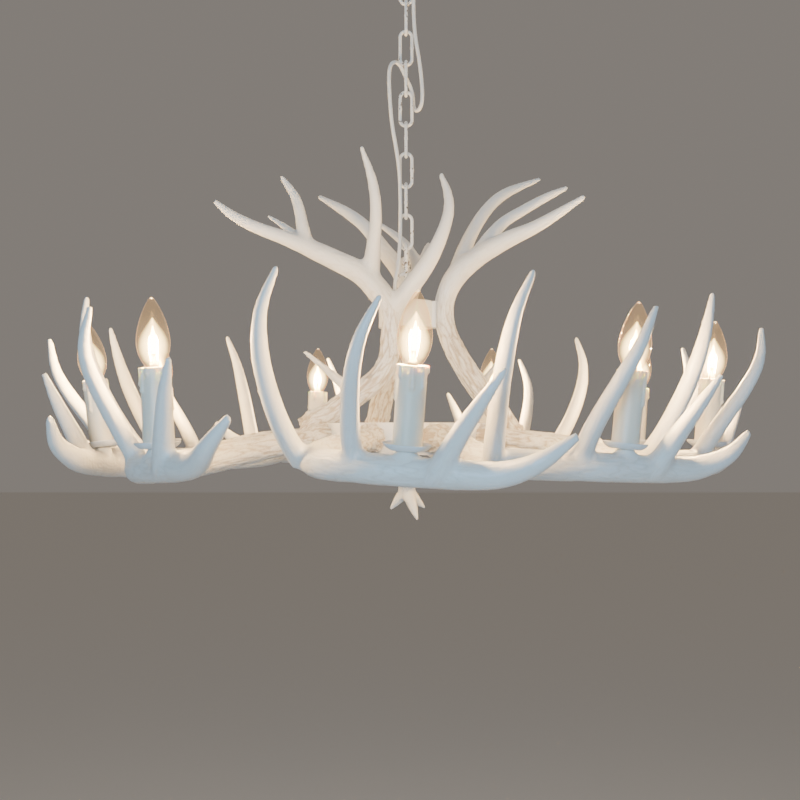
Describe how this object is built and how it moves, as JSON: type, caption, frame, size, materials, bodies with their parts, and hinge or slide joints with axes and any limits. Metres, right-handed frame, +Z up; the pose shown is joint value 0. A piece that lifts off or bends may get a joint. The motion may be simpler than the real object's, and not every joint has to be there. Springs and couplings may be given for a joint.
{
  "type": "antler chandelier",
  "caption": "White cast antler chandelier with a ring of candle lamps, upright antlers on a collar above and a chain to a ceiling canopy.",
  "frame": {"origin": "centre of the canopy on the ceiling face, where the part is held", "axes": "+Z up, -Y towards the viewer of the picture, +X to the right"},
  "size_m": [0.9357, 0.9359, 0.7955],
  "materials": {
    "resin": "white painted cast resin, satin",
    "white_metal": "white painted iron, satin, chipped on the links",
    "glass": "clear",
    "cap_metal": "nickelled brass",
    "sleeve": "ivory white, satin",
    "pan": "white paint, satin",
    "holder": "moulded",
    "steel": "zinc plated",
    "cord": "white PVC sheath",
    "grommet": "moulded"
  },
  "bodies": {
    "ceiling_fitting": {"ceiling_crossbar": "steel", "ceiling_canopy": "white_metal", "canopy_loop": "white_metal", "stem_nut": "steel", "canopy_grommet": "grommet"},
    "top_link": {"chain_top_link": "white_metal"},
    "chain": {"chain_links": "white_metal", "lamp_cord": "cord"},
    "quick_link": {"quick_link": "white_metal"},
    "fixture": {"antler_screws": "steel", "candle_sleeve_1": "sleeve", "candle_sleeve_2": "sleeve", "candle_sleeve_3": "sleeve", "candle_sleeve_4": "sleeve", "candle_sleeve_5": "sleeve", "candle_sleeve_6": "sleeve", "candle_sleeve_7": "sleeve", "candle_sleeve_8": "sleeve", "candle_sleeve_9": "sleeve", "centre_rod": "steel", "collar_grommet": "grommet", "collar_screws": "steel", "drip_pans": "pan", "finial": "resin", "hoop": "white_metal", "hub_spider": "white_metal", "lamp_holders": "holder", "ring_antler_1": "resin", "ring_antler_2": "resin", "ring_antler_3": "resin", "ring_antler_4": "resin", "ring_antler_5": "resin", "ring_antler_6": "resin", "ring_antler_7": "resin", "ring_antler_8": "resin", "ring_antler_9": "resin", "rod_nuts": "steel", "top_loop": "white_metal", "upper_collar": "white_metal", "upright_antler_back": "resin", "upright_antler_left": "resin", "upright_antler_right": "resin"},
    "bulb_1": {"bulb_glass_1": "glass", "bulb_cap_1": "cap_metal"},
    "bulb_2": {"bulb_glass_2": "glass", "bulb_cap_2": "cap_metal"},
    "bulb_3": {"bulb_glass_3": "glass", "bulb_cap_3": "cap_metal"},
    "bulb_4": {"bulb_glass_4": "glass", "bulb_cap_4": "cap_metal"},
    "bulb_5": {"bulb_glass_5": "glass", "bulb_cap_5": "cap_metal"},
    "bulb_6": {"bulb_glass_6": "glass", "bulb_cap_6": "cap_metal"},
    "bulb_7": {"bulb_glass_7": "glass", "bulb_cap_7": "cap_metal"},
    "bulb_8": {"bulb_glass_8": "glass", "bulb_cap_8": "cap_metal"},
    "bulb_9": {"bulb_glass_9": "glass", "bulb_cap_9": "cap_metal"}
  },
  "joints": [
    {"name": "top_link_swing", "type": "hinge", "parent": "ceiling_fitting", "child": "top_link", "pos_m": [0, 0, -0.0675], "axis": [0, 1, 0], "range_deg": [-12, 12], "deforming": ["lamp_cord"]},
    {"name": "chain_swing", "type": "hinge", "parent": "top_link", "child": "chain", "pos_m": [0, 0, -0.10785], "axis": [1, 0, 0], "range_deg": [-12, 12], "deforming": ["lamp_cord"]},
    {"name": "quick_link_turn", "type": "hinge", "parent": "chain", "child": "quick_link", "pos_m": [0, 0, -0.4281], "axis": [0, 0, 1], "range_deg": [-15, 15], "deforming": ["lamp_cord"]},
    {"name": "fixture_swing", "type": "hinge", "parent": "quick_link", "child": "fixture", "pos_m": [0, 0, -0.4739], "axis": [0, 1, 0], "range_deg": [-8, 8], "deforming": ["lamp_cord"]},
    {"name": "bulb_1_lift", "type": "slide", "parent": "fixture", "child": "bulb_1", "axis": [0.069, -0.0975, 0.9928], "range_m": [0, 0.03]},
    {"name": "bulb_2_lift", "type": "slide", "parent": "fixture", "child": "bulb_2", "axis": [0.0958, -0.0334, 0.9948], "range_m": [0, 0.03]},
    {"name": "bulb_3_lift", "type": "slide", "parent": "fixture", "child": "bulb_3", "axis": [0.083, 0.0089, 0.9965], "range_m": [0, 0.03]},
    {"name": "bulb_4_lift", "type": "slide", "parent": "fixture", "child": "bulb_4", "axis": [0.0763, 0.0456, 0.996], "range_m": [0, 0.03]},
    {"name": "bulb_5_lift", "type": "slide", "parent": "fixture", "child": "bulb_5", "axis": [0.0579, 0.0957, 0.9937], "range_m": [0, 0.03]},
    {"name": "bulb_6_lift", "type": "slide", "parent": "fixture", "child": "bulb_6", "axis": [0.0127, 0.0547, 0.9984], "range_m": [0, 0.03]},
    {"name": "bulb_7_lift", "type": "slide", "parent": "fixture", "child": "bulb_7", "axis": [-0.0775, 0.0539, 0.9955], "range_m": [0, 0.03]},
    {"name": "bulb_8_lift", "type": "slide", "parent": "fixture", "child": "bulb_8", "axis": [-0.1397, 0.0411, 0.9893], "range_m": [0, 0.03]},
    {"name": "bulb_9_lift", "type": "slide", "parent": "fixture", "child": "bulb_9", "axis": [-0.0433, -0.0251, 0.9987], "range_m": [0, 0.03]}
  ]
}
